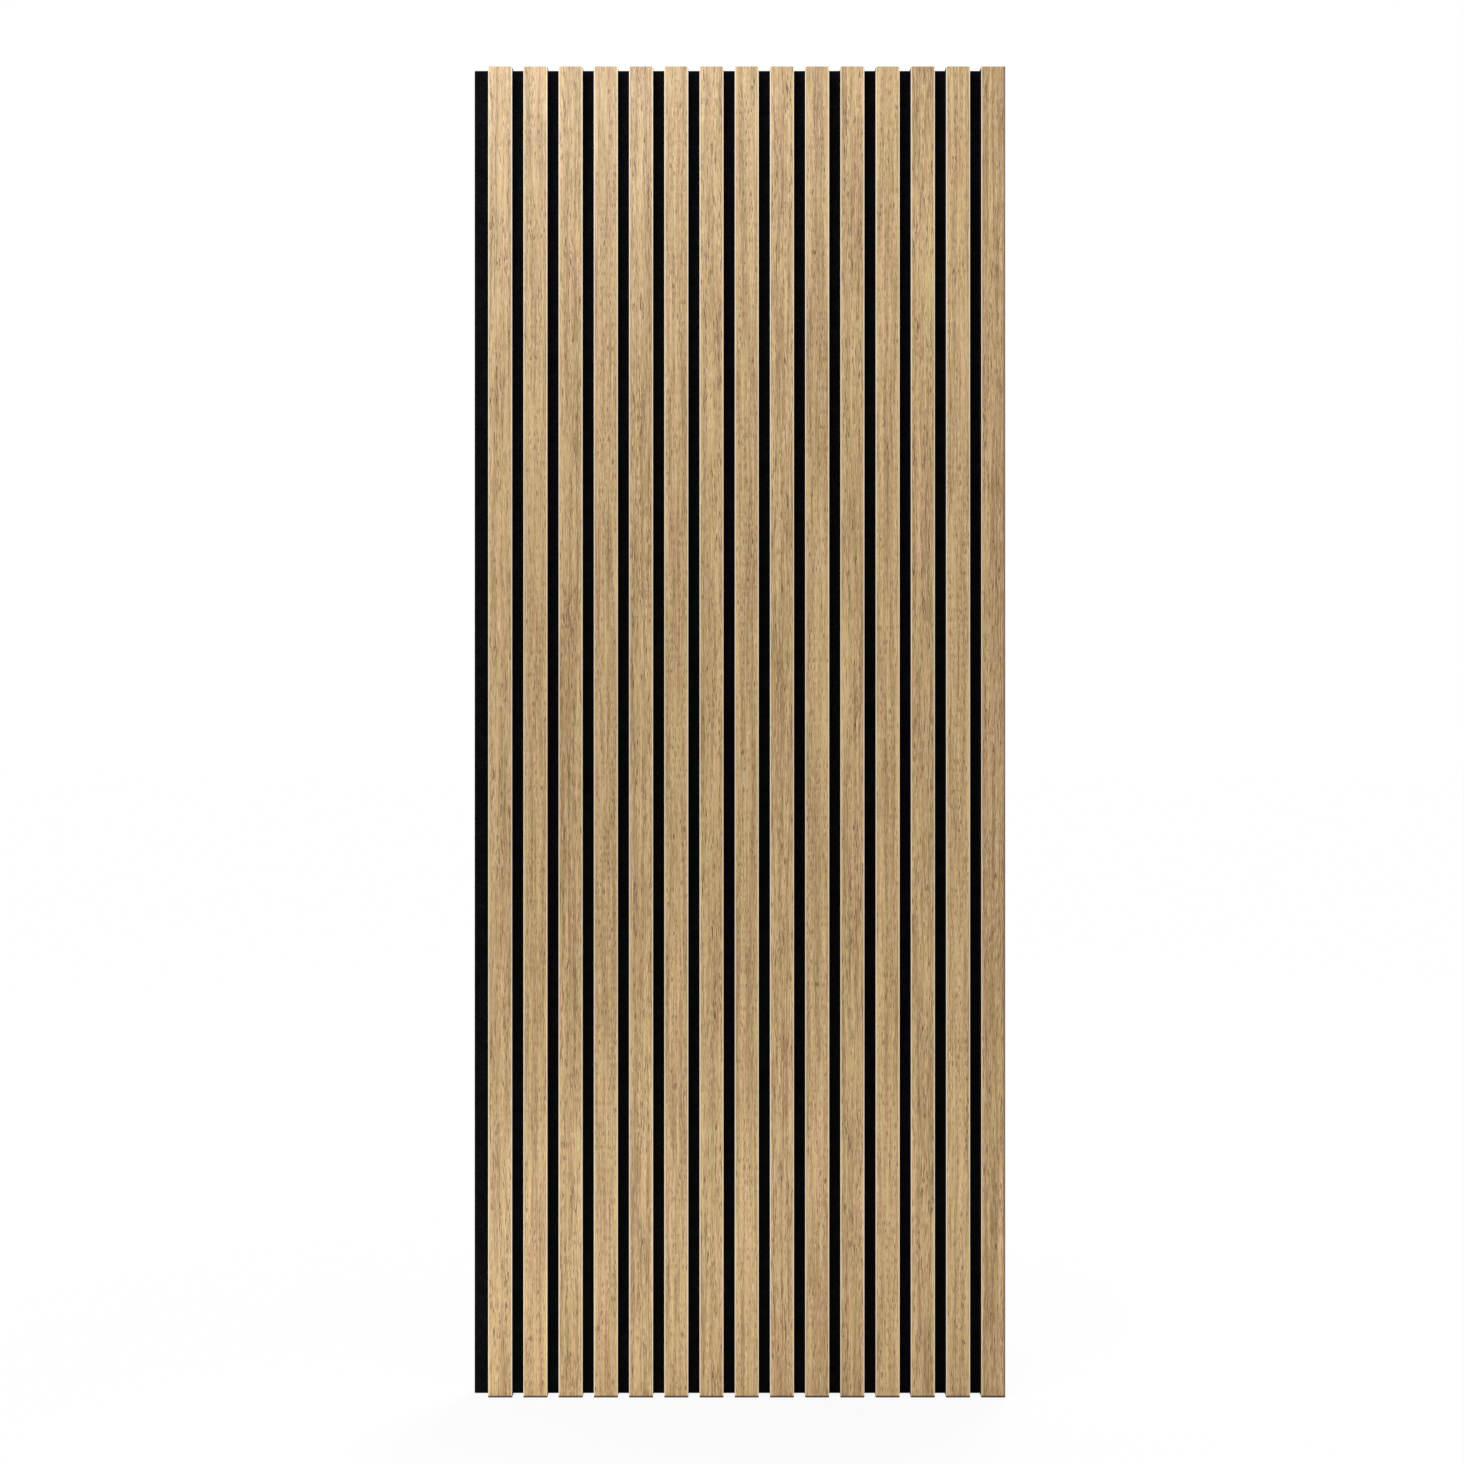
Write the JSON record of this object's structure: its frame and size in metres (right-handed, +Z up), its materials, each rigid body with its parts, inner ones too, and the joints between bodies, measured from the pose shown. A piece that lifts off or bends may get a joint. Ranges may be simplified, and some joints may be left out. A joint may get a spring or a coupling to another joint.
{
  "type": "acoustic slat wall panel",
  "caption": "Upright acoustic wall panel: oak veneered slats with black cores, evenly spaced and stapled to a black felt board with a bare lip at one side.",
  "frame": {"origin": "centre of the felt's back face, which lies on the wall", "axes": "+Z up along the slats, +Y into the wall out of the felt's back, so the slats face -Y and the bare lip is at -X"},
  "size_m": [0.6, 0.021, 1.5],
  "materials": {
    "felt": "needled and pressed polyester felt, matt black",
    "black_mdf": "through-dyed black fibreboard, sawn and sealed",
    "oak_veneer": "straight-grained oak veneer under matt lacquer",
    "staple_wire": "galvanised"
  },
  "bodies": {
    "root": {"felt_board": "felt", "staples": "staple_wire", "slat_core_01": "black_mdf", "slat_core_02": "black_mdf", "slat_core_03": "black_mdf", "slat_core_04": "black_mdf", "slat_core_05": "black_mdf", "slat_core_06": "black_mdf", "slat_core_07": "black_mdf", "slat_core_08": "black_mdf", "slat_core_09": "black_mdf", "slat_core_10": "black_mdf", "slat_core_11": "black_mdf", "slat_core_12": "black_mdf", "slat_core_13": "black_mdf", "slat_core_14": "black_mdf", "slat_core_15": "black_mdf", "slat_veneer_01": "oak_veneer", "slat_veneer_02": "oak_veneer", "slat_veneer_03": "oak_veneer", "slat_veneer_04": "oak_veneer", "slat_veneer_05": "oak_veneer", "slat_veneer_06": "oak_veneer", "slat_veneer_07": "oak_veneer", "slat_veneer_08": "oak_veneer", "slat_veneer_09": "oak_veneer", "slat_veneer_10": "oak_veneer", "slat_veneer_11": "oak_veneer", "slat_veneer_12": "oak_veneer", "slat_veneer_13": "oak_veneer", "slat_veneer_14": "oak_veneer", "slat_veneer_15": "oak_veneer"}
  },
  "joints": []
}
